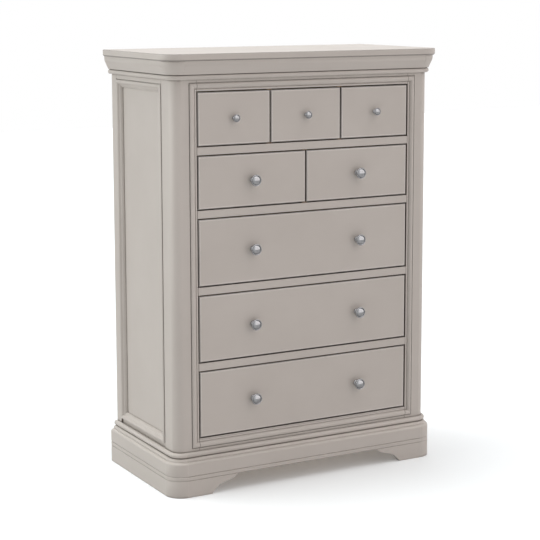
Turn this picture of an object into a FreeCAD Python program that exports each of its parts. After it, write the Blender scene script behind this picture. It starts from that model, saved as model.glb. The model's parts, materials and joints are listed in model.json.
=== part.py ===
"""A tall chest of eight drawers: three over two over three, on a moulded plinth.

The carcase is a frame of corner posts, rails and panels. Each drawer is a rabbeted front,
two sides and a back joined by dovetails, a bottom in grooves, and turned knobs.
X runs along the front, Y towards the back and Z up, in millimetres. The origin is on the
floor under the middle of the chest.
"""
import FreeCAD, Part
import math
import os

# Overall size
overall_width = 980.0
overall_depth = 481.0
overall_height = 1360.0

# Top
top_overhang = 30.0
top_thickness = 21.5
top_corner_radius = 54.0
top_upper_arris = 1.5
top_lower_arris = 4.0

# Frame of the carcase
post_front_width = 80.0
frame_thickness = 22.0
post_corner_radius = 30.0
post_side_depth = 79.0
rear_post_width = 35.0
rear_post_depth = 36.0
rail_height = 24.0
tenon_length = 20.0
tenon_thickness = 9.0
tenon_shoulder = 5.0
tenon_ease = 0.1
wide_tenon_shoulder = 16.0

# Rows of drawers, from the top down. The tall rows share the height that the small ones leave.
row_drawers = (3, 2, 1, 1, 1)
row_is_tall = (False, False, True, True, True)
small_row_height = 169.0
bottom_rail_foot = 80.0
sill_height = 3.0

# Side frames
side_rail_above_plinth = 11.5
side_strip_setback = 5.0
side_rail_below_cornice = 14.0
panel_recess = 12.0
panel_thickness = 6.0
panel_tongue = 8.0
panel_ease = 0.5

# Mouldings of the front opening and of the side panels
moulding_width = 26.5
moulding_below_cornice = 8.5
moulding_above_plinth = 8.0
moulding_quirk_width = 2.6
moulding_quirk_depth = 2.5
moulding_bead_width = 16.0
front_bead_reach = 5.0
side_bead_reach = 4.0
bead_flank_reach = 1.2
crease_width = 2.4
crease_depth = 2.2
front_moulding_rebate = 8.0
margin_drop = 0.6
margin_arris = 1.6
side_inner_drop = 9.0

# Cornice
cornice_height = 56.5
cornice_bead_height = 15.0
cornice_bead_reach = 13.0
cornice_foot_reach = 12.0
cornice_head_reach = 25.0
cornice_head_height = 8.0
cornice_head_radius = 20.0
cornice_crease = 0.8

# Plinth
plinth_height = 137.5
plinth_bead_height = 16.5
plinth_bead_reach = 11.0
plinth_quirk_depth = 2.5
plinth_crease_reach = 4.0
plinth_thumb_radius = 10.0
plinth_step = 1.0
plinth_shoulder_radius = 8.0
apron_height = 52.4
groove_above_apron = 1.0
groove_spacing = 13.0
groove_width = 3.0
groove_depth = 2.0
foot_length = 135.0
foot_curve_length = 90.0

# Back, runners and dividers
back_thickness = 6.0
back_rebate_width = 10.0
back_foot = 80.0
rear_rail_thickness = 18.0
divider_thickness = 18.0
divider_setback = 1.5
runner_reach = 40.0
guide_height = 20.0
guide_wall = 24.0
kicker_height = 24.0

# Drawers
front_gap = 3.0
front_lip = 8.0
front_thickness = 20.0
front_arris = 3.0
side_gap = 1.0
running_gap = 0.3
box_top_gap = 14.0
box_depth = 402.0
box_side_thickness = 11.0
box_back_thickness = 11.0
bottom_thickness = 6.0
bottom_lift = 10.0
bottom_groove = 5.0
bottom_ease = 0.2
dovetail_pitch = 56.0
least_dovetails = 2
dovetail_flare = 4.0
dovetail_neck_share = 0.55
dovetail_ease = 0.1

# Knobs
large_knob_radius = 17.8
large_knob_reach = 30.0
small_knob_radius = 12.3
small_knob_reach = 22.0
row_knobs = (1, 1, 2, 2, 2)
row_knob_is_small = (True, False, False, False, False)
knob_span_share = 0.5
knob_sides = 20

# Turned outline of a knob from its base to its crown: share of its radius, share of its reach
knob_shares = ((0.52, 0.0), (0.50, 0.08), (0.27, 0.18), (0.28, 0.46), (0.92, 0.68),
               (1.0, 0.77), (0.91, 0.85), (0.74, 0.82), (0.46, 0.95), (0.12, 1.0))

# Ogee of a bracket foot: share of its length, share of its height
foot_curve_shares = ((0.0, 0.0), (0.12, 0.26), (0.26, 0.48), (0.45, 0.60),
                     (0.70, 0.71), (0.87, 0.83), (1.0, 1.0))

# Chords that stand for the arcs of a moulding where it turns a corner
corner_chord = 4.6
least_chords = 2

# How far a cutting tool runs past the face that it opens
overrun = 5.0

# Planes and sizes that follow from the driving dimensions
carcase_half = overall_width / 2 - top_overhang
carcase_depth = overall_depth - top_overhang
carcase_top = overall_height - top_thickness
cornice_foot = carcase_top - cornice_height
opening_half = carcase_half - post_front_width
opening_width = opening_half * 2
opening_top = cornice_foot - moulding_below_cornice - moulding_width
moulding_foot = plinth_height + moulding_above_plinth
moulding_head = opening_top + moulding_width
bottom_rail_top = moulding_foot + moulding_width + sill_height
rows_room = opening_top - bottom_rail_top - rail_height * (len(row_is_tall) - 1)
small_rows = row_is_tall.count(False)
tall_rows = row_is_tall.count(True)
tall_row_height = (rows_room - small_row_height * small_rows) / tall_rows
row_heights = [tall_row_height if tall else small_row_height for tall in row_is_tall]
side_bottom_rail_top = plinth_height + side_rail_above_plinth
side_top_rail_foot = cornice_foot - side_rail_below_cornice
plinth_reach = plinth_crease_reach + plinth_thumb_radius + plinth_step + plinth_shoulder_radius
groove_level_lower = apron_height + groove_above_apron
groove_level_upper = groove_level_lower + groove_spacing
rear_post_front = carcase_depth - rear_post_depth
rear_rail_back = carcase_depth - back_thickness
rear_rail_front = rear_rail_back - rear_rail_thickness
rear_half = carcase_half - rear_post_width
panel_outer = carcase_half - panel_recess
panel_inner = panel_outer - panel_thickness
knob_tip = max(large_knob_reach, small_knob_reach)
reach_front = max(top_overhang, knob_tip)
plane_shift = (reach_front - carcase_depth) / 2


def vec(x, y, z):
    return FreeCAD.Vector(x, y, z)


def box(x0, x1, y0, y1, z0, z1):
    """A block between two opposite corners."""
    return Part.makeBox(x1 - x0, y1 - y0, z1 - z0, vec(x0, y0, z0))


def mirrored(shape):
    """The same piece for the other side of the chest."""
    return shape.mirror(vec(0, 0, 0), vec(1, 0, 0))


def edges_of(outline, place):
    """Edges of a closed outline: two points make a line, three points an arc."""
    edges = []
    for points in outline:
        placed = [place(first, second) for first, second in points]
        if len(placed) == 2:
            edges.append(Part.LineSegment(placed[0], placed[1]).toShape())
        else:
            edges.append(Part.Arc(placed[0], placed[1], placed[2]).toShape())
    return edges


def face_of(outline, place):
    return Part.Face(Part.Wire(edges_of(outline, place)))


def flat_face(points):
    return Part.Face(Part.makePolygon(points + points[:1]))


def chain(*points):
    """Lines through the points, in order."""
    return [(points[i], points[i + 1]) for i in range(len(points) - 1)]


def arc_middle(centre, radius, angle):
    return (centre[0] + radius * math.cos(angle), centre[1] + radius * math.sin(angle))


def row_bottoms():
    """Height of the lower edge of each row's opening, from the top row down."""
    levels = []
    level = opening_top
    for height in row_heights:
        levels.append(level - height)
        level = level - height - rail_height
    return levels


def cell_edges(row):
    """Lines between the drawers of a row, with the two sides of the opening."""
    count = row_drawers[row]
    return [opening_width * i / count - opening_half for i in range(count + 1)]


def export(name, shape):
    """Move a piece from the carcase's front plane to the chest's own origin and keep it."""
    moved = shape.copy()
    moved.translate(vec(0, plane_shift, 0))
    moved.exportStep("parts/" + name + ".step")


def group(solids):
    return Part.makeCompound(solids)


def front_run(outline, x0, x1):
    """A moulded board along the front. The outline is in (reach, height)."""
    face = face_of(outline, lambda reach, height: vec(x0, -reach, height))
    return face.extrude(vec(x1 - x0, 0, 0))


def side_run(outline, y0, y1):
    """A moulded board along the left side."""
    face = face_of(outline, lambda reach, height: vec(-carcase_half - reach, y0, height))
    return face.extrude(vec(0, y1 - y0, 0))


def in_chords(outline):
    """The same outline with each arc as a few chords."""
    straight = []
    for points in outline:
        if len(points) == 2:
            straight.append(points)
        else:
            arc = Part.Arc(*[vec(first, second, 0) for first, second in points])
            steps = max(least_chords, round(arc.length() / corner_chord))
            ends = arc.toShape().discretize(steps + 1)
            straight += chain(*[(end.x, end.y) for end in ends])
    return straight


def corner_run(outline):
    """A quarter turn of the moulding round the left corner post."""
    centre_x = post_corner_radius - carcase_half
    face = face_of(in_chords(outline), lambda reach, height: vec(
        centre_x - post_corner_radius - reach, post_corner_radius, height))
    quarter = math.degrees(math.pi / 2)
    return face.revolve(vec(centre_x, post_corner_radius, 0), vec(0, 0, 1), quarter)


def splay(low, high, radius):
    """A line that leans out from the low point, and an arc that brings it upright."""
    centre = (high[0] - radius, high[1])
    across = centre[0] - low[0]
    up = centre[1] - low[1]
    lean = math.atan2(across, up) + math.asin(radius / math.hypot(across, up))
    touch = arc_middle(centre, radius, -lean)
    return [(low, touch), (touch, arc_middle(centre, radius, -lean / 2), high)]


def cornice_outline():
    """Half-round bead, then a splay that leans out to an upright head under the top."""
    bead_radius = cornice_bead_height / 2
    bead_base = cornice_bead_reach - bead_radius
    bead_low = (bead_base, cornice_foot)
    bead_nose = (cornice_bead_reach, cornice_foot + bead_radius)
    bead_high = (bead_base, cornice_foot + cornice_bead_height)
    splay_low = (cornice_foot_reach, cornice_foot + cornice_bead_height + cornice_crease)
    splay_high = (cornice_head_reach, carcase_top - cornice_head_height)
    head = (cornice_head_reach, carcase_top)
    outline = [((0, cornice_foot), bead_low), (bead_low, bead_nose, bead_high)]
    outline += chain(bead_high, splay_low)
    outline += splay(splay_low, splay_high, cornice_head_radius)
    outline += chain(splay_high, head, (0, carcase_top), (0, cornice_foot))
    return outline


def quarter_round(high, radius):
    """Arc that leaves a point level and outwards, and ends upright and below it."""
    centre = (high[0], high[1] - radius)
    return high, arc_middle(centre, radius, math.pi / 4), (high[0] + radius, centre[1])


def groove_notch(level):
    """Points of a small V groove in the fascia, from above."""
    half = groove_width / 2
    deep = plinth_reach - groove_depth
    return [(plinth_reach, level + half), (deep, level), (plinth_reach, level - half)]


def plinth_outline():
    """Half-round bead, two quarter rounds, and a fascia with two fine grooves."""
    bead_radius = plinth_bead_height / 2
    bead_base = plinth_bead_reach - bead_radius
    bead_foot = plinth_height - plinth_bead_height
    quirk_floor = plinth_height - plinth_quirk_depth
    outline = chain((0, quirk_floor), (bead_base, quirk_floor), (bead_base, plinth_height))
    outline.append(((bead_base, plinth_height), (plinth_bead_reach, plinth_height - bead_radius),
                    (bead_base, bead_foot)))
    thumb = quarter_round((plinth_crease_reach, bead_foot), plinth_thumb_radius)
    step_foot = thumb[-1][1] - plinth_step
    shoulder = quarter_round((thumb[-1][0] + plinth_step, step_foot), plinth_shoulder_radius)
    outline += chain((bead_base, bead_foot), thumb[0])
    outline.append(thumb)
    outline += chain(thumb[-1], (thumb[-1][0], step_foot), shoulder[0])
    outline.append(shoulder)
    fascia = [shoulder[-1]] + groove_notch(groove_level_upper) + groove_notch(groove_level_lower)
    fascia += [(plinth_reach, 0), (0, 0), (0, quirk_floor)]
    return outline + chain(*fascia)


def front_moulding_outline():
    """Section of the frame round the drawers: (distance in from its outer edge, reach)."""
    bead_start = moulding_quirk_width
    bead_end = bead_start + moulding_bead_width
    bead_crown = (bead_start + moulding_bead_width / 2, front_bead_reach)
    margin_start = bead_end + crease_width
    inner = moulding_width
    outline = chain((0, -front_moulding_rebate), (0, -moulding_quirk_depth),
                    (bead_start, -moulding_quirk_depth), (bead_start, bead_flank_reach))
    outline.append(((bead_start, bead_flank_reach), bead_crown, (bead_end, -margin_drop)))
    outline += chain((bead_end, -margin_drop), (bead_end + crease_width / 2, -crease_depth),
                     (margin_start, -margin_drop), (inner - margin_arris, -margin_drop))
    arris_centre = (inner - margin_arris, -margin_drop - margin_arris)
    arris_middle = arc_middle(arris_centre, margin_arris, math.pi / 4)
    outline.append(((inner - margin_arris, -margin_drop), arris_middle,
                    (inner, -margin_drop - margin_arris)))
    outline += chain((inner, -margin_drop - margin_arris), (inner, -front_moulding_rebate),
                     (0, -front_moulding_rebate))
    return outline


def side_moulding_outline():
    """Section of the frame round a side panel, stepping down to the panel."""
    bead_start = moulding_quirk_width
    bead_end = bead_start + moulding_bead_width - crease_width
    bead_crown = (bead_start + (bead_end - bead_start) / 2, side_bead_reach)
    slope_start = (bead_end + crease_width / 2, -crease_depth)
    slope_end = (moulding_width - crease_width / 2, -side_inner_drop)
    run = slope_end[0] - slope_start[0]
    fall = slope_start[1] - slope_end[1]
    bulge = fall / 4
    slope_middle = (slope_start[0] + run / 2, slope_start[1] - fall / 2 + bulge)
    outline = chain((0, -panel_recess), (0, -moulding_quirk_depth),
                    (bead_start, -moulding_quirk_depth), (bead_start, bead_flank_reach))
    outline.append(((bead_start, bead_flank_reach), bead_crown, (bead_end, -margin_drop)))
    outline += chain((bead_end, -margin_drop), slope_start)
    outline.append((slope_start, slope_middle, slope_end))
    outline += chain(slope_end, (moulding_width, -side_inner_drop),
                     (moulding_width, -panel_recess), (0, -panel_recess))
    return outline


def mitred_strip(outline, length):
    """One length of moulding with both ends cut at 45 degrees.

    It lies along X, its width runs along Y and it stands up along Z."""
    face = face_of(outline, lambda inward, reach: vec(0, inward, reach))
    strip = face.extrude(vec(length, 0, 0))
    trapezium = flat_face([vec(0, 0, -panel_recess), vec(length, 0, -panel_recess),
                           vec(length - moulding_width, moulding_width, -panel_recess),
                           vec(moulding_width, moulding_width, -panel_recess)])
    return strip.common(trapezium.extrude(vec(0, 0, panel_recess + moulding_width)))


def mitred_frame(outline, left, right, low, high, place):
    """Four mitred strips round a rectangle, as separate solids."""
    quarter = math.degrees(math.pi / 2)
    corners = ((left, low, right - left, 0), (right, low, high - low, 1),
               (right, high, right - left, 2), (left, high, high - low, 3))
    strips = []
    for across, up, length, turns in corners:
        strip = mitred_strip(outline, length)
        strip.rotate(vec(0, 0, 0), vec(0, 0, 1), quarter * turns)
        strip.translate(vec(across, up, 0))
        strips.append(place(strip))
    return strips


def stood_on_front(shape):
    """From the drawing plane to the front of the carcase."""
    shape.rotate(vec(0, 0, 0), vec(1, 0, 0), math.degrees(math.pi / 2))
    return shape


def stood_on_left(shape):
    """From the drawing plane to the left side of the carcase."""
    stood_on_front(shape)
    shape.rotate(vec(0, 0, 0), vec(0, 0, 1), -math.degrees(math.pi / 2))
    shape.translate(vec(-carcase_half, 0, 0))
    return shape


def slab_rim(slab, level, arris):
    """Edges of the top at one level, all but the one along the back."""
    return [edge for edge in slab.Edges
            if abs(edge.BoundBox.ZMin - level) < arris / 2
            and abs(edge.BoundBox.ZMax - level) < arris / 2
            and edge.BoundBox.YMin < carcase_depth - arris]


def top_panel():
    half = overall_width / 2
    front = -top_overhang
    radius = top_corner_radius
    lean = radius * (1 - math.sqrt(0.5))
    outline = [((-half, carcase_depth), (-half, front + radius)),
               ((-half, front + radius), (-half + lean, front + lean), (-half + radius, front)),
               ((-half + radius, front), (half - radius, front)),
               ((half - radius, front), (half - lean, front + lean), (half, front + radius)),
               ((half, front + radius), (half, carcase_depth)),
               ((half, carcase_depth), (-half, carcase_depth))]
    face = face_of(outline, lambda x, y: vec(x, y, carcase_top))
    slab = face.extrude(vec(0, 0, top_thickness))
    for level, arris in ((overall_height, top_upper_arris), (carcase_top, top_lower_arris)):
        slab = slab.makeChamfer(arris, slab_rim(slab, level, arris))
    return slab


def rail_tenon(x_end, direction, z0, z1, shoulder, ease):
    """Tenon of a front rail. It points along X in the given direction."""
    inner = x_end + direction * (tenon_length - ease)
    y_middle = (front_moulding_rebate + frame_thickness) / 2
    half = tenon_thickness / 2 - ease
    return box(min(x_end, inner), max(x_end, inner), y_middle - half, y_middle + half,
               z0 + shoulder + ease, z1 - shoulder - ease)


def rail_levels():
    """Front rails as (lower edge, upper edge, tenon shoulder), from the top down."""
    levels = [(opening_top, carcase_top, wide_tenon_shoulder)]
    for bottom in row_bottoms()[:-1]:
        levels.append((bottom - rail_height, bottom, tenon_shoulder))
    levels.append((bottom_rail_foot, bottom_rail_top, wide_tenon_shoulder))
    return levels


def front_rail(z0, z1, shoulder):
    rail = box(-opening_half, opening_half, 0, frame_thickness, z0, z1)
    for direction in (-1, 1):
        tenon = rail_tenon(direction * opening_half, direction, z0, z1, shoulder, tenon_ease)
        rail = rail.fuse(tenon)
    return rail.removeSplitter()


def front_moulding_seat():
    """The rebate that the front moulding lies in."""
    wide = opening_half + moulding_width
    whole = box(-wide, wide, -overrun, front_moulding_rebate, moulding_foot, moulding_head)
    hole = box(-opening_half, opening_half, -overrun, front_moulding_rebate,
               moulding_foot + moulding_width, opening_top)
    return whole.cut(hole)


def side_rail_levels():
    return ((side_top_rail_foot, carcase_top), (bottom_rail_foot, side_bottom_rail_top))


def side_tenon(y_end, direction, z0, z1, ease):
    """Tenon of a side rail. It points along Y in the given direction."""
    inner = y_end + direction * (tenon_length - ease)
    x_middle = -carcase_half + frame_thickness / 2
    half = tenon_thickness / 2 - ease
    return box(x_middle - half, x_middle + half, min(y_end, inner), max(y_end, inner),
               z0 + wide_tenon_shoulder + ease, z1 - wide_tenon_shoulder - ease)


def panel_block(ease):
    """The side panel with its tongues, or with no ease the room that it takes."""
    tongue = panel_tongue - ease
    return box(-panel_outer, -panel_inner, post_side_depth - tongue, rear_post_front + tongue,
               side_bottom_rail_top - tongue, side_top_rail_foot + tongue)


def corner_post():
    """L-shaped post with a rounded outer corner, grooved, mortised and rebated."""
    radius = post_corner_radius
    lean = radius * (1 - math.sqrt(0.5))
    inner_x = frame_thickness - carcase_half
    outline = [((-carcase_half, post_side_depth), (-carcase_half, radius)),
               ((-carcase_half, radius), (-carcase_half + lean, lean), (-carcase_half + radius, 0))]
    outline += chain((-carcase_half + radius, 0), (-opening_half, 0),
                     (-opening_half, frame_thickness), (inner_x, frame_thickness),
                     (inner_x, post_side_depth), (-carcase_half, post_side_depth))
    face = face_of(outline, lambda x, y: vec(x, y, 0))
    post = face.extrude(vec(0, 0, carcase_top))
    cutters = [front_moulding_seat(), panel_block(0)]
    for z0, z1, shoulder in rail_levels():
        cutters.append(rail_tenon(-opening_half, -1, z0, z1, shoulder, 0))
    for z0, z1 in side_rail_levels():
        cutters.append(side_tenon(post_side_depth, -1, z0, z1, 0))
    for cutter in cutters:
        post = post.cut(cutter)
    return post


def rear_post():
    post = box(-carcase_half, -rear_half, rear_post_front, carcase_depth, 0, carcase_top)
    rebate = box(-rear_half - back_rebate_width, -rear_half + overrun, rear_rail_back,
                 carcase_depth + overrun, back_foot, carcase_top + overrun)
    post = post.cut(rebate).cut(panel_block(0))
    for z0, z1 in side_rail_levels():
        post = post.cut(side_tenon(rear_post_front, 1, z0, z1, 0))
    return post


def side_strip():
    """Set-back strip of the lower side rail, between the plinth and the moulding."""
    return box(-carcase_half - overrun, side_strip_setback - carcase_half,
               post_side_depth, rear_post_front,
               plinth_height - plinth_quirk_depth, side_bottom_rail_top + overrun)


def side_rails():
    rails = []
    for z0, z1 in side_rail_levels():
        rail = box(-carcase_half, frame_thickness - carcase_half,
                   post_side_depth, rear_post_front, z0, z1)
        rail = rail.fuse(side_tenon(post_side_depth, -1, z0, z1, tenon_ease))
        rail = rail.fuse(side_tenon(rear_post_front, 1, z0, z1, tenon_ease))
        rails.append(rail.cut([panel_block(0), side_strip()]).removeSplitter())
    return group(rails)


def side_moulding():
    strips = mitred_frame(side_moulding_outline(), -rear_post_front, -post_side_depth,
                          side_bottom_rail_top, side_top_rail_foot, stood_on_left)
    return group(strips)


def front_moulding():
    wide = opening_half + moulding_width
    strips = mitred_frame(front_moulding_outline(), -wide, wide, moulding_foot, moulding_head,
                          stood_on_front)
    return group(strips)


def back_panel():
    half = rear_half + back_rebate_width
    return box(-half, half, rear_rail_back, carcase_depth, back_foot, carcase_top)


def rear_rails():
    levels = [(opening_top, carcase_top), (bottom_rail_foot, bottom_rail_top)]
    for bottom in row_bottoms()[:-1]:
        levels.append((bottom - rail_height, bottom))
    return group([box(-rear_half, rear_half, rear_rail_front, rear_rail_back, z0, z1)
                  for z0, z1 in levels])


def end_runner(bottom):
    """Left end runner of a row, with the guide that steers the drawer's side."""
    outer = -opening_half - guide_wall
    guide = -opening_half + divider_thickness / 2
    base = box(outer, guide + runner_reach, frame_thickness, rear_rail_front,
               bottom - rail_height, bottom)
    wall = box(outer, guide, frame_thickness, rear_rail_front, bottom, bottom + guide_height)
    return base.fuse(wall).removeSplitter()


def drawer_runners():
    """End runners for each row, and broad ones under the dividers."""
    solids = []
    for row, bottom in enumerate(row_bottoms()):
        runner = end_runner(bottom)
        solids += [runner, mirrored(runner)]
        for line in cell_edges(row)[1:-1]:
            solids.append(box(line - runner_reach, line + runner_reach, frame_thickness,
                              rear_rail_front, bottom - rail_height, bottom))
    return group(solids)


def drawer_dividers():
    """Upright boards behind the gaps between drawers of one row."""
    solids = []
    half = divider_thickness / 2
    for row, bottom in enumerate(row_bottoms()):
        for line in cell_edges(row)[1:-1]:
            solids.append(box(line - half, line + half, front_lip + divider_setback,
                              rear_rail_front, bottom, bottom + row_heights[row]))
    return group(solids)


def top_kickers():
    """Strips that keep the top row level when a drawer is pulled out."""
    edges = cell_edges(0)
    spans = [(line - runner_reach, line + runner_reach) for line in edges[1:-1]]
    spans += [(edges[0] - guide_wall, edges[0] + runner_reach),
              (edges[-1] - runner_reach, edges[-1] + guide_wall)]
    return group([box(x0, x1, frame_thickness, rear_rail_front,
                      opening_top, opening_top + kicker_height) for x0, x1 in spans])


def foot_cutter():
    """The room between the two bracket feet, with an ogee on the inside of each."""
    toe = carcase_half + plinth_reach - foot_length
    depth = -plinth_reach - overrun
    curve = [(toe - foot_curve_length * across, apron_height * up)
             for across, up in foot_curve_shares]
    edges = []
    for side in (-1, 1):
        points = [vec(side * x, depth, z) for x, z in curve]
        edges += [Part.Arc(*points[i:i + 3]).toShape() for i in (0, 2, 4)]
        edges.append(Part.LineSegment(points[0], vec(side * toe, depth, -overrun)).toShape())
    for x, z in (curve[-1], (toe, -overrun)):
        edges.append(Part.LineSegment(vec(-x, depth, z), vec(x, depth, z)).toShape())
    rim = Part.Wire(Part.__sortEdges__(edges))
    return Part.Face(rim).extrude(vec(0, plinth_reach + overrun * 2, 0))


def plinth_front():
    half = carcase_half - post_corner_radius
    return front_run(plinth_outline(), -half, half).cut(foot_cutter())


def tail_prism(x0, x1, y_neck, y_tip, z_middle, height, ease):
    """One dovetail of a drawer side: narrow at its neck and wide at its tip."""
    neck = height / 2 - ease
    tip = height / 2 + dovetail_flare / 2 - ease
    towards = 1 if y_tip > y_neck else -1
    end = y_tip - towards * ease
    face = flat_face([vec(x0, y_neck, z_middle - neck), vec(x0, end, z_middle - tip),
                      vec(x0, end, z_middle + tip), vec(x0, y_neck, z_middle + neck)])
    return face.extrude(vec(x1 - x0, 0, 0))


def tails(x0, x1, y_neck, y_tip, z0, z1, ease):
    """An even row of dovetails between two heights."""
    count = max(least_dovetails, round((z1 - z0) / dovetail_pitch))
    pitch = (z1 - z0) / count
    return [tail_prism(x0, x1, y_neck, y_tip, z0 + pitch * (i + 0.5),
                       pitch * dovetail_neck_share, ease) for i in range(count)]


def knob(radius, reach, x, z):
    """A turned knob: base disc, waist, and a head with a rim ring round a dome.

    It goes round in flats, to keep the mesh light."""
    turns = [math.pi * 2 * i / knob_sides for i in range(knob_sides)]
    rings = []
    for width, height in knob_shares:
        rings.append([vec(x + width * radius * math.cos(turn), -height * reach,
                          z + width * radius * math.sin(turn)) for turn in turns])
    faces = [flat_face(rings[0]), flat_face(rings[-1])]
    for lower, upper in zip(rings, rings[1:]):
        for i in range(knob_sides):
            faces.append(flat_face([lower[i - 1], lower[i], upper[i], upper[i - 1]]))
    return Part.Solid(Part.Shell(faces))


class Drawer:
    """Sizes and places of one drawer, worked out from its cell in the carcase."""

    def __init__(self, row, cell):
        left, right = cell_edges(row)[cell], cell_edges(row)[cell + 1]
        bottom = row_bottoms()[row]
        last = row_drawers[row] - 1
        half_gap = front_gap / 2
        self.x0 = left + (front_gap if cell == 0 else half_gap)
        self.x1 = right - (front_gap if cell == last else half_gap)
        self.z0 = bottom + front_gap
        self.z1 = bottom + row_heights[row] - front_gap
        inset = divider_thickness / 2 + side_gap
        self.box_x0 = left + inset
        self.box_x1 = right - inset
        self.box_z0 = bottom + running_gap
        self.box_z1 = bottom + row_heights[row] - box_top_gap
        self.box_back = front_lip + box_depth
        self.bottom_z = self.box_z0 + bottom_lift
        self.back_z0 = self.bottom_z + bottom_thickness + bottom_ease
        self.middle_z = (self.z0 + self.z1) / 2
        self.knobs_x = self.knob_places(row, left, right)
        self.small = row_knob_is_small[row]

    def knob_places(self, row, left, right):
        middle = (left + right) / 2
        if row_knobs[row] == 1:
            return [middle]
        reach = (right - left) * knob_span_share / 2
        return [middle - reach, middle + reach]

    def bottom_room(self, ease):
        """The drawer bottom, or with no ease the grooves that hold it."""
        inner = box_side_thickness - bottom_groove
        return box(self.box_x0 + inner + ease, self.box_x1 - inner - ease,
                   front_thickness - bottom_groove + ease, self.box_back,
                   self.bottom_z, self.bottom_z + bottom_thickness + bottom_ease - ease)

    def side_tails(self, x0, x1, ease):
        front = tails(x0, x1, front_thickness, front_lip, self.z0, self.box_z1, ease)
        back = tails(x0, x1, self.box_back - box_back_thickness, self.box_back,
                     self.back_z0, self.box_z1, ease)
        return front, back

    def side_spans(self):
        return ((self.box_x0, self.box_x0 + box_side_thickness),
                (self.box_x1 - box_side_thickness, self.box_x1))

    def front(self):
        """Rabbeted front: a lip over the gap, and a body with sockets for the sides."""
        lip = box(self.x0, self.x1, 0, front_lip, self.z0, self.z1)
        rim = [edge for edge in lip.Edges if edge.BoundBox.YMax < front_arris / 2]
        lip = lip.makeChamfer(front_arris, rim)
        body = box(self.box_x0, self.box_x1, front_lip, front_thickness, self.z0, self.box_z1)
        board = lip.fuse(body).removeSplitter()
        for x0, x1 in self.side_spans():
            for socket in self.side_tails(x0, x1, 0)[0]:
                board = board.cut(socket)
        return board.cut(self.bottom_room(0))

    def box_boards(self):
        """Two sides with tails at both ends, and a back with the pins."""
        solids = []
        back = box(self.box_x0, self.box_x1, self.box_back - box_back_thickness, self.box_back,
                   self.back_z0, self.box_z1)
        for x0, x1 in self.side_spans():
            side = box(x0, x1, front_thickness, self.box_back - box_back_thickness,
                       self.box_z0, self.box_z1)
            heel = box(x0, x1, self.box_back - box_back_thickness, self.box_back,
                       self.box_z0, self.back_z0)
            front_tails, back_tails = self.side_tails(x0, x1, dovetail_ease)
            for piece in [heel] + front_tails + back_tails:
                side = side.fuse(piece)
            solids.append(side.removeSplitter().cut(self.bottom_room(0)))
            for socket in self.side_tails(x0, x1, 0)[1]:
                back = back.cut(socket)
        solids.append(back)
        return group(solids)

    def knobs(self):
        radius = small_knob_radius if self.small else large_knob_radius
        reach = small_knob_reach if self.small else large_knob_reach
        return group([knob(radius, reach, x, self.middle_z) for x in self.knobs_x])


def make_carcase():
    cornice = cornice_outline()
    plinth = plinth_outline()
    corner_half = carcase_half - post_corner_radius
    seat = front_moulding_seat()
    levels = rail_levels()
    export("top_panel", top_panel())
    export("cornice_front", front_run(cornice, -corner_half, corner_half))
    export("plinth_front", plinth_front())
    pairs = {"cornice_%s": side_run(cornice, post_corner_radius, carcase_depth),
             "plinth_%s": side_run(plinth, post_corner_radius, carcase_depth),
             "corner_post_%s": corner_post(),
             "rear_post_%s": rear_post(),
             "side_rails_%s": side_rails(),
             "side_panel_%s": panel_block(panel_ease),
             "side_moulding_%s": side_moulding()}
    for name, shape in pairs.items():
        export(name % "left", shape)
        export(name % "right", mirrored(shape))
    for name, outline in (("cornice_corners", cornice), ("plinth_corners", plinth)):
        corner = corner_run(outline)
        export(name, group([corner, mirrored(corner)]))
    export("top_rail", front_rail(*levels[0]).cut(seat))
    export("bottom_rail", front_rail(*levels[-1]).cut(seat))
    export("drawer_rails", group([front_rail(*level) for level in levels[1:-1]]))
    export("front_moulding", front_moulding())
    export("drawer_dividers", drawer_dividers())
    export("drawer_runners", drawer_runners())
    export("top_kickers", top_kickers())
    export("rear_rails", rear_rails())
    export("back_panel", back_panel())


def make_drawers():
    number = 0
    for row, count in enumerate(row_drawers):
        for cell in range(count):
            number += 1
            drawer = Drawer(row, cell)
            name = "drawer_%d_" % number
            export(name + "front", drawer.front())
            export(name + "box", drawer.box_boards())
            export(name + "bottom", drawer.bottom_room(bottom_ease))
            export(name + "knobs", drawer.knobs())


os.makedirs("parts", exist_ok=True)
make_carcase()
make_drawers()
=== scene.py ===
"""Looks of a tall painted chest of drawers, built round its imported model.

Painted boards with eased edges, bare wood inside, plywood back and bottoms, and turned knobs
of satin nickel. Lengths are in metres, in the model's own frame: X along the front, Y towards
the back, Z up. Colours are linear.
"""

import json
import math

import bmesh
import bpy
from mathutils import Matrix, Vector

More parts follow.
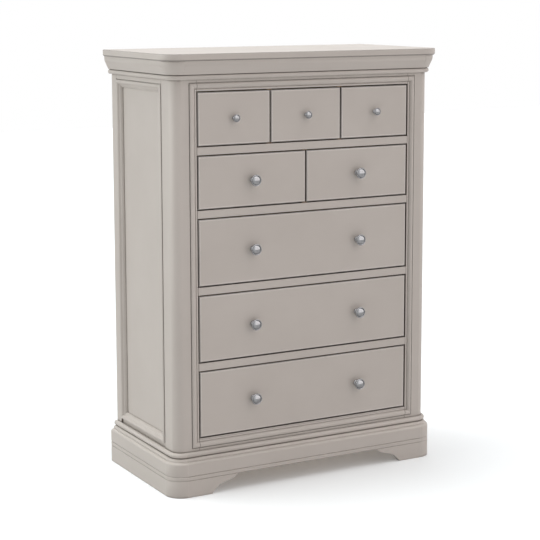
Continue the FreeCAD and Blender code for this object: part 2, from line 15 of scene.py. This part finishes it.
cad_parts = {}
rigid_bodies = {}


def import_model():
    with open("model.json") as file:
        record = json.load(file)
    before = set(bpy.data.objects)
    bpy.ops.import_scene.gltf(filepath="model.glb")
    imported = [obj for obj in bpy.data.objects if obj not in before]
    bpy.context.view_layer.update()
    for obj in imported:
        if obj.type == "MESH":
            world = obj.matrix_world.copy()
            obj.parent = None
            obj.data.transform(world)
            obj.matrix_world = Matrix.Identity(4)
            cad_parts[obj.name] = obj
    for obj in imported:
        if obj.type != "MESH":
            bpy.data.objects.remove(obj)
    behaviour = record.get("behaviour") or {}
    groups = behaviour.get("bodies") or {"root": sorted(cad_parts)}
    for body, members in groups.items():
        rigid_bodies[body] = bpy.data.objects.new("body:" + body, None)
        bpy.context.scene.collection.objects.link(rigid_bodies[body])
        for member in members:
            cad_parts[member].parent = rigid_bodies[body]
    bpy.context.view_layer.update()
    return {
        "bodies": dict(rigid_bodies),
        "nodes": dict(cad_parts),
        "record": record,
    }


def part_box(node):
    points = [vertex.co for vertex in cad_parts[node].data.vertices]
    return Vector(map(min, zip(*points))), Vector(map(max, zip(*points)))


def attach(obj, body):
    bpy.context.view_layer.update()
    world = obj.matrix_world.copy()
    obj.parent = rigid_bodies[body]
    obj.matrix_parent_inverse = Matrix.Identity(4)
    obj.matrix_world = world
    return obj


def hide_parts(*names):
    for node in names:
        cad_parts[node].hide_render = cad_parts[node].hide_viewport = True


# Camera, solved on the straight edges of the object in the picture
camera_place = (-2.4469, -4.3853, 1.5433)
camera_yaw = math.radians(29.035)
camera_pitch = math.radians(-8.195)
camera_roll = math.radians(-0.127)
camera_lens = 103.59
camera_sensor = 36.0
camera_shift_y = -0.1019

# Lights: the way that each comes from, its spread in degrees, its strength and its colour
lights = {
    "key": ((-0.10, 0.22, 1.0), 30.0, 1.15, (1.0, 1.0, 1.0)),
    "side": ((-1.0, 0.45, 0.35), 60.0, 1.53, (1.0, 1.0, 0.97)),
    "front": ((0.8, -1.0, 0.45), 110.0, 1.62, (1.0, 0.912, 0.885)),
    "over": ((0.0, 0.0, 1.0), 70.0, 1.12, (1.0, 1.0, 0.99))}

# Backdrop: white, at its full strength where it is seen and dim where it lights the chest
white = (1.0, 1.0, 1.0, 1.0)
backdrop_seen = 1.0
backdrop_light = 0.02

# Floor: how far it reaches each way, and its colour and glow as they are seen and as they
# light the chest. The glow is painted light: it stands in for light thrown back from the floor,
# and the glow that is seen lifts the floor's shadow
floor_reach = 12.0
floor_colour_seen = (0.930, 0.975, 1.0, 1.0)
floor_colour = (0.50, 0.50, 0.50, 1.0)
floor_glow_seen = 0.14
floor_glow = 0.20
floor_roughness = 0.9

# Boards: how far their edges are eased, and the angles that count as flat and as sharp
paint_ease = 0.0007
wood_ease = 0.0005
ease_steps = 2
weld_reach = 0.00002
flat_angle = math.radians(1.0)
sharp_angle = math.radians(28.0)

# Painted boards that stand upright and that run along the sides. The others run along the front.
axes = "XYZ"
upright_boards = ("corner_post", "rear_post", "side_panel", "side_moulding")
side_boards = ("side_rails", "cornice_left", "cornice_right", "plinth_left", "plinth_right")

# In the materials a noise is its scale, detail, roughness and distortion, a range is the part of
# a pattern that counts, its shares are what the two ends of the range give, and a relief is a
# strength and a height
rising = (0.0, 1.0)
falling = (1.0, 0.0)
middle_range = (0.35, 0.65)
broad_range = (0.3, 0.7)

# Paint: strokes and grain along the board, wide clouds and fine specks
paint_pale = (0.600, 0.562, 0.525, 1.0)
paint_deep = (0.568, 0.530, 0.493, 1.0)
paint_stretch = 14.0
paint_roughness = (0.40, 0.52)
paint_index = 1.46
stroke_noise = (420.0, 4.0, 0.6, 0.0)
stroke_relief = (0.10, 0.0003)
grain_noise = (90.0, 3.0, 0.5, 0.4)
grain_shares = (0.0, 0.22)
grain_relief = (0.10, 0.0004)
cloud_noise = (3.2, 3.0, 0.6, 0.0)
speck_noise = (900.0, 2.0, 0.5, 0.0)
speck_relief = (0.05, 0.0002)

# Painted shade in the creases of the paint, by the share of open sky over a short reach
sky_samples = 6
crease_reach = 0.008
crease_shade_colour = (0.170, 0.140, 0.118, 1.0)
crease_shade_range = (0.36, 0.81)
crease_shade_shares = (0.73, 0.0)

# Joints of the frame's boards that show through the paint, from just over the plinth to just
# under the cornice
seam_colour = (0.170, 0.140, 0.118, 1.0)
seam_half_width = 0.0010
seam_share = 0.85
seam_margin = 0.0012

# Painted highlight on the arrises, by how far a rounded normal turns from the face's own, in clouds
arris_highlight_colour = (0.930, 0.900, 0.870, 1.0)
highlight_samples = 4
highlight_range = (0.995, 0.95)
highlight_cloud_range = (0.4, 0.6)
highlight_cloud_shares = (0.6, 1.0)

# Painted shade, near black, in deep gaps, and on slanted arrises by the part of their normal
# along the way that a board faces
gap_shade_colour = (0.018, 0.014, 0.012, 1.0)
arris_slope = 0.60
arris_slope_reach = 0.30

# How the paint of the frame, the drawer fronts and the top shows its painted gap shade, its
# painted arris highlight and its painted shade on slanted arrises: a gap's range is the share of
# open sky where its shade is full and ends
frame_finish = {"gap_range": (0.05, 0.16), "highlight_reach": 0.0016, "highlight_share": 0.35}
front_finish = {"gap_range": (0.34, 0.66), "highlight_reach": 0.0070, "highlight_share": 1.0,
                "arris_facing": "Y", "arris_share": 0.50}
top_finish = dict(frame_finish, arris_facing="Z", arris_share=0.45)

# Pine: bands of early and late wood, a slow drift of colour, and pores
pine_early = (0.640, 0.430, 0.235, 1.0)
pine_late = (0.420, 0.235, 0.105, 1.0)
pine_stretch = 16.0
pine_roughness = (0.62, 0.50)
facing_range = (0.45, 0.55)
band_pattern = {"Scale": 22.0, "Distortion": 9.0, "Detail": 3.0, "Detail Scale": 1.4,
                "Detail Roughness": 0.6}
band_range = (0.25, 0.9)
band_shares = (0.0, 0.7)
band_relief = (0.08, 0.0004)
drift_noise = (26.0, 3.0, 0.55, 0.8)
drift_shares = (0.0, 0.45)
pore_noise = (900.0, 3.0, 0.6, 0.0)
pore_range = (0.25, 0.5)
pore_shares = (0.35, 0.0)
pore_relief = (0.25, 0.0003)

# Plywood: long flames and short pores
ply_pale = (0.600, 0.435, 0.265, 1.0)
ply_deep = (0.450, 0.295, 0.155, 1.0)
ply_roughness = (0.66, 0.52)
flame_stretch = 5.0
flame_noise = (9.0, 5.0, 0.55, 1.6)
ply_pore_stretch = 24.0
ply_pore_noise = (600.0, 3.0, 0.6, 0.0)
ply_pore_range = (0.28, 0.5)
ply_pore_shares = (0.4, 0.0)
ply_pore_relief = (0.2, 0.0002)

# Metal of the knobs and of the screws: a thin film over fine grit, with painted shade in the
# grooves
nickel_bright = (0.385, 0.391, 0.404, 1.0)
nickel_deep = (0.030, 0.030, 0.032, 1.0)
nickel_roughness = 0.12
steel_bright = (0.560, 0.560, 0.570, 1.0)
steel_deep = (0.400, 0.400, 0.410, 1.0)
steel_roughness = 0.38
film_noise = (160.0, 3.0, 0.6, 0.0)
film_shares = (0.0, 0.25)
film_gloss_shares = (0.85, 1.2)
grit_noise = (1400.0, 2.0, 0.5, 0.0)
grit_relief = (0.03, 0.0001)
groove_shade_reach = 0.004
groove_shade_range = (0.40, 0.80)

# Turned outline of a knob from its base to its crown: share of its radius, share of its reach
knob_shares = ((0.50, 0.0), (0.52, 0.012), (0.52, 0.055), (0.50, 0.078), (0.41, 0.098),
               (0.32, 0.135), (0.275, 0.19), (0.262, 0.28), (0.266, 0.39), (0.30, 0.48),
               (0.42, 0.545), (0.66, 0.595), (0.90, 0.630), (0.97, 0.652), (0.995, 0.690),
               (1.0, 0.745), (0.992, 0.795), (0.965, 0.835), (0.92, 0.853), (0.87, 0.846),
               (0.835, 0.818), (0.805, 0.790), (0.775, 0.792), (0.745, 0.822), (0.67, 0.864),
               (0.53, 0.920), (0.35, 0.966), (0.16, 0.991), (0.0, 1.0))
knob_turns = 64

# A knob node that is wider than this many knobs holds a pair of them
pair_least_width = 1.5

# Pan head of the screw that holds a knob: its outline, and the cross in it
screw_radius = 0.0045
screw_height = 0.0024
screw_shares = ((1.0, 0.0), (1.0, 0.22), (0.93, 0.52), (0.76, 0.78), (0.50, 0.94), (0.20, 1.0),
                (0.0, 1.0))
screw_turns = 32
cross_reach = 0.0026
cross_half = 0.00055
cross_depth = 0.0013

# Sockets of Blender's Mix node when it mixes colours
mix_share_socket = 0
mix_colour_sockets = (6, 7)
mixed_colour_socket = 2


class Graph:
    """The nodes of one material or world, with short calls to add and join them."""

    def __init__(self, owner, output):
        owner.use_nodes = True
        self.tree = owner.node_tree
        self.tree.nodes.clear()
        self.output = self.tree.nodes.new(output)

    def add(self, kind, sockets=None, **settings):
        """A node. A socket takes a plain value or another node's output."""
        node = self.tree.nodes.new(kind)
        for name, value in settings.items():
            setattr(node, name, value)
        for name, value in (sockets or {}).items():
            self.feed(node.inputs[name], value)
        return node

    def feed(self, socket, value):
        if isinstance(value, bpy.types.NodeSocket):
            self.tree.links.new(value, socket)
        else:
            socket.default_value = value

    def mix(self, share, first, second):
        """The first colour where the share is zero, and the second where it is one."""
        node = self.add("ShaderNodeMix", {mix_share_socket: share}, data_type="RGBA")
        for socket, colour in zip(mix_colour_sockets, (first, second)):
            self.feed(node.inputs[socket], colour)
        return node.outputs[mixed_colour_socket]

    def math(self, operation, *values):
        return self.add("ShaderNodeMath", dict(enumerate(values)), operation=operation).outputs[0]

    def near(self, value, middle, reach):
        """One where the value is within reach of the middle, and zero elsewhere."""
        return self.math("COMPARE", value, middle, reach)

    def spread(self, value, source, target):
        """The value moved from one range to another, and kept inside it."""
        node = self.add("ShaderNodeMapRange", {
            "Value": value, "From Min": source[0], "From Max": source[1],
            "To Min": target[0], "To Max": target[1]})
        return node.outputs["Result"]

    def place(self, axis=None, stretch=1.0):
        """Places on the object, which draw a pattern out along the axis, if one is named."""
        scale = [1.0, 1.0, 1.0]
        if axis is not None:
            scale[axes.index(axis)] = 1.0 / stretch
        place = self.add("ShaderNodeTexCoord").outputs["Object"]
        return self.add("ShaderNodeMapping", {"Vector": place, "Scale": scale}).outputs[0]

    def parts(self, vector):
        """The parts of a vector, by the names of their axes."""
        return self.add("ShaderNodeSeparateXYZ", {"Vector": vector}).outputs

    def normal(self, kind):
        return self.add("ShaderNodeNewGeometry").outputs[kind]

    def noise(self, vector, pattern):
        scale, detail, roughness, distortion = pattern
        node = self.add("ShaderNodeTexNoise", {
            "Vector": vector, "Scale": scale, "Detail": detail,
            "Roughness": roughness, "Distortion": distortion})
        return node.outputs["Fac"]

    def open_sky(self, reach):
        """The share of the directions out of a point in which nothing is near."""
        node = self.add("ShaderNodeAmbientOcclusion", {"Distance": reach}, samples=sky_samples)
        return node.outputs["AO"]

    def bump(self, height, relief, below=None):
        """A normal bent by the height, on top of another one if it is given."""
        sockets = {"Height": height, "Strength": relief[0], "Distance": relief[1]}
        if below is not None:
            sockets["Normal"] = below
        return self.add("ShaderNodeBump", sockets).outputs[0]

    def surface(self, **sockets):
        shader = self.add("ShaderNodeBsdfPrincipled",
                          {name.replace("_", " "): value for name, value in sockets.items()})
        self.feed(self.output.inputs["Surface"], shader.outputs[0])


def new_material(name):
    material = bpy.data.materials.new(name)
    return material, Graph(material, "ShaderNodeOutputMaterial")


def seams(graph):
    """The seam's share on the thin lines where the boards of the frame meet, and zero elsewhere."""
    front_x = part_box("corner_post_right")[0].x
    side_y = (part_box("corner_post_left")[1].y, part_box("rear_post_left")[0].y)
    low_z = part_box("plinth_front")[1].z + seam_margin
    high_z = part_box("cornice_front")[0].z - seam_margin
    parts = graph.parts(graph.add("ShaderNodeTexCoord").outputs["Object"])
    shown = graph.near(graph.math("ABSOLUTE", parts["X"]), front_x, seam_half_width)
    for y in side_y:
        shown = graph.math("MAXIMUM", shown, graph.near(parts["Y"], y, seam_half_width))
    between = graph.near(parts["Z"], (low_z + high_z) / 2, (high_z - low_z) / 2)
    shown = graph.math("MULTIPLY", shown, between)
    return graph.math("MULTIPLY", shown, seam_share)


def painted_arris_highlight(graph, cloud, reach, share):
    """The share of painted highlight, which is on the arrises and uneven like the clouds."""
    rounded = graph.add("ShaderNodeBevel", {"Radius": reach}, samples=highlight_samples).outputs[0]
    likeness = graph.add("ShaderNodeVectorMath", {0: rounded, 1: graph.normal("Normal")},
                         operation="DOT_PRODUCT").outputs["Value"]
    lit_edges = graph.spread(likeness, highlight_range, (0.0, share))
    return graph.math("MULTIPLY", lit_edges,
                      graph.spread(cloud, highlight_cloud_range, highlight_cloud_shares))


def slanted_arrises(graph, facing, share):
    """Painted shade's share on the slanted arrises of a board facing along one axis; zero
    elsewhere.
    """
    part = graph.math("ABSOLUTE", graph.parts(graph.normal("True Normal"))[facing])
    return graph.math("MULTIPLY", graph.near(part, arris_slope, arris_slope_reach), share)


def painted_wood(name, axis, gap_range, highlight_reach, highlight_share, arris_facing=None,
                 arris_share=0.0):
    """Satin paint brushed along the board, painted shade in its creases and gaps, painted edge
    highlights.

    Slanted arrises get painted shade too, on a board that faces along the axis that is named.
    """
    material, graph = new_material(name)
    run = graph.place(axis, paint_stretch)
    plain = graph.place()
    strokes = graph.noise(run, stroke_noise)
    grain = graph.noise(run, grain_noise)
    cloud = graph.noise(plain, cloud_noise)
    specks = graph.noise(plain, speck_noise)
    sky = graph.open_sky(crease_reach)
    tone = graph.mix(graph.spread(cloud, middle_range, rising), paint_deep, paint_pale)
    tone = graph.mix(graph.spread(grain, broad_range, grain_shares), tone, paint_deep)
    # Painted shade in the creases: darker where little open sky shows
    tone = graph.mix(graph.spread(sky, crease_shade_range, crease_shade_shares), tone, crease_shade_colour)
    tone = graph.mix(seams(graph), tone, seam_colour)
    # Painted highlight: a pale band along the arrises
    tone = graph.mix(painted_arris_highlight(graph, cloud, highlight_reach, highlight_share), tone, arris_highlight_colour)
    # Painted shade, near black, in the gaps and on the slanted arrises
    gap = graph.spread(sky, gap_range, falling)
    if arris_facing is not None:
        gap = graph.math("MAXIMUM", gap, slanted_arrises(graph, arris_facing, arris_share))
    tone = graph.mix(gap, tone, gap_shade_colour)
    relief = graph.bump(specks, speck_relief)
    relief = graph.bump(strokes, stroke_relief, relief)
    relief = graph.bump(grain, grain_relief, relief)
    graph.surface(Base_Color=tone, Roughness=graph.spread(strokes, broad_range, paint_roughness),
                  Normal=relief, IOR=paint_index)
    return material


def along_the_board(graph, stretch):
    """Grain along Y on the sides of a box, and along X on boards that face front or back."""
    across = graph.place("X", stretch)
    lengthwise = graph.place("Y", stretch)
    part = graph.math("ABSOLUTE", graph.parts(graph.normal("True Normal"))["Y"])
    return graph.mix(graph.spread(part, facing_range, rising), lengthwise, across)


def bare_wood():
    """Planed pine: bands of early and late wood, fine pores and a dull sheen."""
    material, graph = new_material("bare_wood")
    run = along_the_board(graph, pine_stretch)
    drift = graph.noise(run, drift_noise)
    bands = graph.add("ShaderNodeTexWave", {"Vector": run, **band_pattern},
                      bands_direction="DIAGONAL").outputs["Fac"]
    pores = graph.noise(run, pore_noise)
    tone = graph.mix(graph.spread(bands, band_range, band_shares), pine_early, pine_late)
    tone = graph.mix(graph.spread(drift, broad_range, drift_shares), tone, pine_early)
    tone = graph.mix(graph.spread(pores, pore_range, pore_shares), tone, pine_late)
    relief = graph.bump(bands, band_relief, graph.bump(pores, pore_relief))
    graph.surface(Base_Color=tone, Roughness=graph.spread(pores, broad_range, pine_roughness),
                  Normal=relief)
    return material


def sheet_wood():
    """Birch plywood: a rotary-cut face with long flames and short dark pores."""
    material, graph = new_material("sheet_wood")
    flames = graph.noise(graph.place("Z", flame_stretch), flame_noise)
    pores = graph.noise(graph.place("Z", ply_pore_stretch), ply_pore_noise)
    tone = graph.mix(graph.spread(flames, middle_range, rising), ply_pale, ply_deep)
    tone = graph.mix(graph.spread(pores, ply_pore_range, ply_pore_shares), tone, ply_deep)
    graph.surface(Base_Color=tone, Roughness=graph.spread(pores, broad_range, ply_roughness),
                  Normal=graph.bump(pores, ply_pore_relief))
    return material


def turned_metal(name, bright, deep, roughness):
    """Turned metal under a thin dull film, with painted shade in its grooves."""
    material, graph = new_material(name)
    plain = graph.place()
    grit = graph.noise(plain, grit_noise)
    film = graph.noise(plain, film_noise)
    sky = graph.open_sky(groove_shade_reach)
    tone = graph.mix(graph.spread(film, middle_range, film_shares), bright, deep)
    # Painted shade in the grooves and at the neck, where little open sky shows
    tone = graph.mix(graph.spread(sky, groove_shade_range, falling), tone, deep)
    gloss = [roughness * share for share in film_gloss_shares]
    graph.surface(Base_Color=tone, Metallic=1.0, Roughness=graph.spread(film, broad_range, gloss),
                  Normal=graph.bump(grit, grit_relief))
    return material


def new_object(name, mesh):
    piece = bpy.data.objects.new(name, mesh)
    bpy.context.scene.collection.objects.link(piece)
    return piece


def object_from(name, form):
    """An object of the form's mesh. The form is freed."""
    mesh = bpy.data.meshes.new(name)
    form.to_mesh(mesh)
    form.free()
    return new_object(name, mesh)


def turned(name, shares, radius, reach, turns):
    """A turned solid on the Y axis that grows towards -Y from its base at zero."""
    form = bmesh.new()
    angles = [math.tau * i / turns for i in range(turns)]
    rings = []
    for width_share, height_share in shares:
        width = width_share * radius
        y = -height_share * reach
        if width == 0.0:
            rings.append([form.verts.new((0.0, y, 0.0))])
        else:
            rings.append([form.verts.new((width * math.cos(angle), y, width * math.sin(angle)))
                          for angle in angles])
    form.faces.new(rings[0])
    for lower, upper in zip(rings, rings[1:]):
        for i in range(turns):
            if len(upper) == 1:
                form.faces.new((lower[i - 1], lower[i], upper[0]))
            else:
                form.faces.new((lower[i - 1], lower[i], upper[i], upper[i - 1]))
    bmesh.ops.recalc_face_normals(form, faces=form.faces)
    for face in form.faces:
        face.smooth = len(face.verts) < turns
    return object_from(name, form)


def cross_cutter():
    """Two crossed bars as one cutter, for the recess of a screw head."""
    form = bmesh.new()
    for half_x, half_z in ((cross_reach, cross_half), (cross_half, cross_reach)):
        size = Matrix.Diagonal((half_x * 2, cross_depth * 2, half_z * 2, 1.0))
        bmesh.ops.create_cube(form, size=1.0, matrix=size)
    return object_from("cross_cutter", form)


def make_screw_mesh():
    """Mesh of a pan head with a cross recess, its seat at zero and its crown towards +Y."""
    head = turned("screw_head", screw_shares, screw_radius, -screw_height, screw_turns)
    cutter = cross_cutter()
    cutter.location = (0.0, screw_height, 0.0)
    bpy.context.view_layer.update()
    cut = head.modifiers.new("cross", "BOOLEAN")
    cut.operation = "DIFFERENCE"
    cut.object = cutter
    cut.use_self = True
    evaluated = head.evaluated_get(bpy.context.evaluated_depsgraph_get())
    mesh = bpy.data.meshes.new_from_object(evaluated)
    for piece in (head, cutter):
        bpy.data.objects.remove(piece)
    return mesh


def ease_edges(node, width):
    """Weld the node's faces to each other and round its sharp edges a little."""
    weld = node.modifiers.new("weld", "WELD")
    weld.merge_threshold = weld_reach
    clean = node.modifiers.new("clean", "DECIMATE")
    clean.decimate_type = "DISSOLVE"
    clean.angle_limit = flat_angle
    ease = node.modifiers.new("ease", "BEVEL")
    ease.width = width
    ease.segments = ease_steps
    ease.limit_method = "ANGLE"
    ease.angle_limit = sharp_angle
    ease.use_clamp_overlap = True
    ease.harden_normals = True


def dress(node, material):
    for slot in node.material_slots:
        slot.link = "OBJECT"
        slot.material = material


def board_axis(name):
    """The axis that the brush followed on a painted board."""
    if name.startswith(upright_boards):
        return "Z"
    if name.startswith(side_boards):
        return "Y"
    return "X"


def dress_boards(frame):
    """Give each board its finish and eased edges."""
    paints = {axis: painted_wood("painted_wood_" + axis.lower(), axis, **frame_finish)
              for axis in axes}
    front_paint = painted_wood("painted_wood_front", "X", **front_finish)
    top_paint = painted_wood("painted_wood_top", "X", **top_finish)
    bare_finishes = {"bare_wood": bare_wood(), "sheet_wood": sheet_wood()}
    slots = {part["node"]: part["material_slot"] for part in frame["record"]["subparts"]}
    for name, node in frame["nodes"].items():
        if slots[name] in bare_finishes:
            dress(node, bare_finishes[slots[name]])
            ease_edges(node, wood_ease)
        elif slots[name] == "painted_wood":
            if name.startswith("drawer_") and name.endswith("_front"):
                dress(node, front_paint)
            elif name == "top_panel":
                dress(node, top_paint)
            else:
                dress(node, paints[board_axis(name)])
            ease_edges(node, paint_ease)


def knob_places(node):
    """Radius, reach, base plane and centres of the knobs of one drawer."""
    low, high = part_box(node)
    radius = (high.z - low.z) / 2
    middle_z = (low.z + high.z) / 2
    centres = [(low.x + radius, middle_z)]
    if high.x - low.x > pair_least_width * 2 * radius:
        centres.append((high.x - radius, middle_z))
    return radius, high.y - low.y, high.y, centres


def make_knobs(frame):
    """Turned knobs on the drawer fronts, and the screws that hold them from inside."""
    nickel = turned_metal("satin_nickel", nickel_bright, nickel_deep, nickel_roughness)
    steel = turned_metal("zinc_steel", steel_bright, steel_deep, steel_roughness)
    screw_mesh = make_screw_mesh()
    screw_mesh.materials.append(steel)
    bodies = [name for name in frame["bodies"] if name.startswith("drawer_")]
    for body in bodies:
        node = body + "_knobs"
        radius, reach, base, centres = knob_places(node)
        inner_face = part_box(body + "_front")[1].y
        for number, (x, z) in enumerate(centres, start=1):
            knob = turned("%s_knob_%d" % (body, number), knob_shares, radius, reach, knob_turns)
            knob.data.materials.append(nickel)
            knob.location = (x, base, z)
            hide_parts(node)
            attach(knob, body)
            screw = new_object("%s_screw_%d" % (body, number), screw_mesh)
            screw.location = (x, inner_face, z)
            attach(screw, body)


def make_camera():
    """The picture's own camera: turned by yaw, pitch and roll, with the frame shifted down."""
    ahead = Vector((math.sin(camera_yaw) * math.cos(camera_pitch),
                    math.cos(camera_yaw) * math.cos(camera_pitch), math.sin(camera_pitch)))
    level = Vector((math.cos(camera_yaw), -math.sin(camera_yaw), 0.0))
    raised = level.cross(ahead)
    right = level * math.cos(camera_roll) + raised * math.sin(camera_roll)
    up = raised * math.cos(camera_roll) - level * math.sin(camera_roll)
    data = bpy.data.cameras.new("camera")
    data.lens = camera_lens
    data.sensor_width = camera_sensor
    data.shift_y = camera_shift_y
    camera = new_object("camera", data)
    turn = Matrix((right, up, -ahead)).transposed().to_4x4()
    camera.matrix_world = Matrix.Translation(camera_place) @ turn
    bpy.context.scene.camera = camera


def make_lights():
    """Broad soft lights that are as strong at the feet as at the top."""
    for name, (source, spread, strength, colour) in lights.items():
        data = bpy.data.lights.new(name, "SUN")
        data.angle = math.radians(spread)
        data.energy = strength
        data.color = colour
        light = new_object(name, data)
        light.rotation_mode = "QUATERNION"
        light.rotation_quaternion = Vector(source).to_track_quat("Z", "Y")


def make_world():
    """White for the camera and in the metal, and a dim light on everything."""
    world = bpy.data.worlds.new("studio")
    bpy.context.scene.world = world
    graph = Graph(world, "ShaderNodeOutputWorld")
    rays = graph.add("ShaderNodeLightPath").outputs
    seen = graph.math("MAXIMUM", rays["Is Camera Ray"], rays["Is Glossy Ray"])
    seen = graph.math("MAXIMUM", seen, rays["Is Transmission Ray"])
    strength = graph.spread(seen, rising, (backdrop_light, backdrop_seen))
    backdrop = graph.add("ShaderNodeBackground", {"Color": white, "Strength": strength})
    graph.feed(graph.output.inputs["Surface"], backdrop.outputs[0])


def make_floor():
    """A wide pale floor that keeps the chest's shadow, throws little light back and glows as
    painted fill.
    """
    form = bmesh.new()
    bmesh.ops.create_grid(form, x_segments=1, y_segments=1, size=floor_reach)
    floor = object_from("floor", form)
    material, graph = new_material("floor")
    seen = graph.add("ShaderNodeLightPath").outputs["Is Camera Ray"]
    graph.surface(Base_Color=graph.mix(seen, floor_colour, floor_colour_seen),
                  Roughness=floor_roughness, Emission_Color=white,
                  Emission_Strength=graph.spread(seen, rising, (floor_glow, floor_glow_seen)))
    floor.data.materials.append(material)


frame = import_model()
bpy.context.scene.view_settings.view_transform = "Standard"
make_camera()
make_lights()
make_world()
make_floor()
dress_boards(frame)
make_knobs(frame)
bpy.context.view_layer.update()
